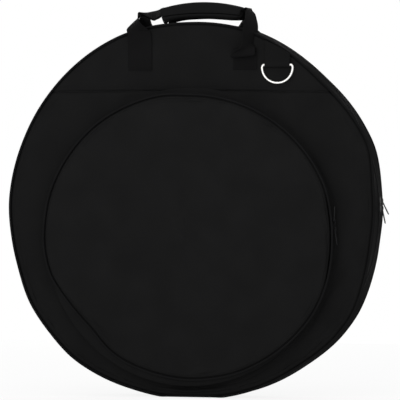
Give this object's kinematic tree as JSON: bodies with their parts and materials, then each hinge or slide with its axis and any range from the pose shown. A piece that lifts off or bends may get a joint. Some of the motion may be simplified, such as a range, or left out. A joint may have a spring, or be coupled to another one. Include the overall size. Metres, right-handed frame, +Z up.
{
  "type": "cymbal bag",
  "caption": "Round padded bag for cymbals that opens along a zip round its gusset, with a round front pocket, webbing straps that meet in a wrap grip, and D-rings.",
  "frame": {"origin": "middle of the flat base, on the plane of the main zip, where the lid's hinge line lies", "axes": "+Z up, -Y towards the front with the pocket, +X to the right seen from the front"},
  "size_m": [0.597, 0.1075, 0.6109],
  "materials": {
    "canvas": "matt black coated weave",
    "pocket_canvas": "matt black coated weave, a little lighter",
    "webbing": "black woven webbing",
    "piping": "black covered cord",
    "padding": "closed-cell foam",
    "lining": "smooth black lining cloth",
    "zip_tape": "black woven zip tape",
    "zip_chain": "black moulded coil",
    "black_metal": "black enamel, worn at the edges",
    "nickel": "nickel plate",
    "grip_cloth": "matt black coated weave over padding",
    "hook_tape": "hook and loop tape"
  },
  "bodies": {
    "back_shell": {"back_panel": "canvas", "back_foam": "padding", "back_lining": "lining", "main_gusset_back": "canvas", "gusset_padding_back": "padding", "back_piping": "piping", "main_base_web_back": "canvas", "main_zip_tape_back": "zip_tape", "main_zip_chain_back": "zip_chain", "back_strap": "webbing", "back_ring_tab": "webbing", "grip_wrap": "grip_cloth", "grip_hook_strip": "hook_tape"},
    "lid": {"front_panel": "canvas", "front_yoke": "canvas", "front_foam": "padding", "front_lining": "lining", "main_gusset_front": "canvas", "gusset_padding_front": "padding", "front_piping": "piping", "main_base_web_front": "canvas", "main_zip_tape_front": "zip_tape", "main_zip_chain_front": "zip_chain", "front_strap": "webbing", "front_ring_tab": "webbing", "pocket_gusset_back": "canvas", "pocket_base_web_back": "canvas", "pocket_zip_tape_back": "zip_tape", "pocket_zip_chain_back": "zip_chain"},
    "pocket_flap": {"pocket_gusset_front": "canvas", "pocket_base_web_front": "canvas", "pocket_zip_tape_front": "zip_tape", "pocket_zip_chain_front": "zip_chain", "pocket_piping": "piping", "pocket_face": "pocket_canvas", "pocket_padding": "padding"},
    "main_upper_slider": {"main_upper_slider": "black_metal"},
    "main_lower_slider": {"main_lower_slider": "black_metal"},
    "main_upper_pull": {"main_upper_pull": "black_metal"},
    "main_lower_pull": {"main_lower_pull": "black_metal"},
    "pocket_upper_slider": {"pocket_upper_slider": "black_metal"},
    "pocket_lower_slider": {"pocket_lower_slider": "black_metal"},
    "pocket_upper_pull": {"pocket_upper_pull": "black_metal"},
    "pocket_lower_pull": {"pocket_lower_pull": "black_metal"},
    "front_d_ring": {"front_d_ring": "nickel"},
    "back_d_ring": {"back_d_ring": "nickel"},
    "grip_flap": {"grip_flap": "grip_cloth", "grip_loop_strip": "hook_tape"}
  },
  "joints": [
    {"name": "lid_hinge", "type": "hinge", "parent": "back_shell", "child": "lid", "pos_m": [0, 0, 0], "axis": [1, 0, 0], "range_deg": [0, 180]},
    {"name": "main_upper_slider_travel", "type": "hinge", "parent": "back_shell", "child": "main_upper_slider", "pos_m": [0, 0, 0.288], "axis": [0, -1, 0], "range_deg": [0, 224]},
    {"name": "main_lower_slider_travel", "type": "hinge", "parent": "back_shell", "child": "main_lower_slider", "pos_m": [0, 0, 0.288], "axis": [0, -1, 0], "range_deg": [-48, 0]},
    {"name": "main_upper_pull_hinge", "type": "hinge", "parent": "main_upper_slider", "child": "main_upper_pull", "pos_m": [0.29446, 0, 0.30413], "axis": [0, -1, 0], "range_deg": [0, 110]},
    {"name": "main_lower_pull_hinge", "type": "hinge", "parent": "main_lower_slider", "child": "main_lower_pull", "pos_m": [0.29487, 0, 0.29216], "axis": [0, -1, 0], "range_deg": [-8, 26]},
    {"name": "pocket_hinge", "type": "hinge", "parent": "lid", "child": "pocket_flap", "pos_m": [0, -0.043, 0.0183], "axis": [1, 0, 0], "range_deg": [0, 160]},
    {"name": "pocket_upper_slider_travel", "type": "hinge", "parent": "lid", "child": "pocket_upper_slider", "pos_m": [0, -0.043, 0.2445], "axis": [0, -1, 0], "range_deg": [0, 220]},
    {"name": "pocket_lower_slider_travel", "type": "hinge", "parent": "lid", "child": "pocket_lower_slider", "pos_m": [0, -0.043, 0.2445], "axis": [0, -1, 0], "range_deg": [-50, 0]},
    {"name": "pocket_upper_pull_hinge", "type": "hinge", "parent": "pocket_upper_slider", "child": "pocket_upper_pull", "pos_m": [0.22897, -0.043, 0.27189], "axis": [0, -1, 0], "range_deg": [-150, 0]},
    {"name": "pocket_lower_pull_hinge", "type": "hinge", "parent": "pocket_lower_slider", "child": "pocket_lower_pull", "pos_m": [0.23008, -0.043, 0.25991], "axis": [0, -1, 0], "range_deg": [-2, 140]},
    {"name": "front_d_ring_hinge", "type": "hinge", "parent": "lid", "child": "front_d_ring", "pos_m": [0.1383, -0.0352, 0.5118], "axis": [-1, 0, 0], "range_deg": [0, 170]},
    {"name": "back_d_ring_hinge", "type": "hinge", "parent": "back_shell", "child": "back_d_ring", "pos_m": [-0.1383, 0.0352, 0.5118], "axis": [1, 0, 0], "range_deg": [0, 170]},
    {"name": "grip_flap_hinge", "type": "hinge", "parent": "back_shell", "child": "grip_flap", "pos_m": [0, 0.0126, 0.6109], "axis": [-1, 0, 0], "range_deg": [0, 150]}
  ]
}
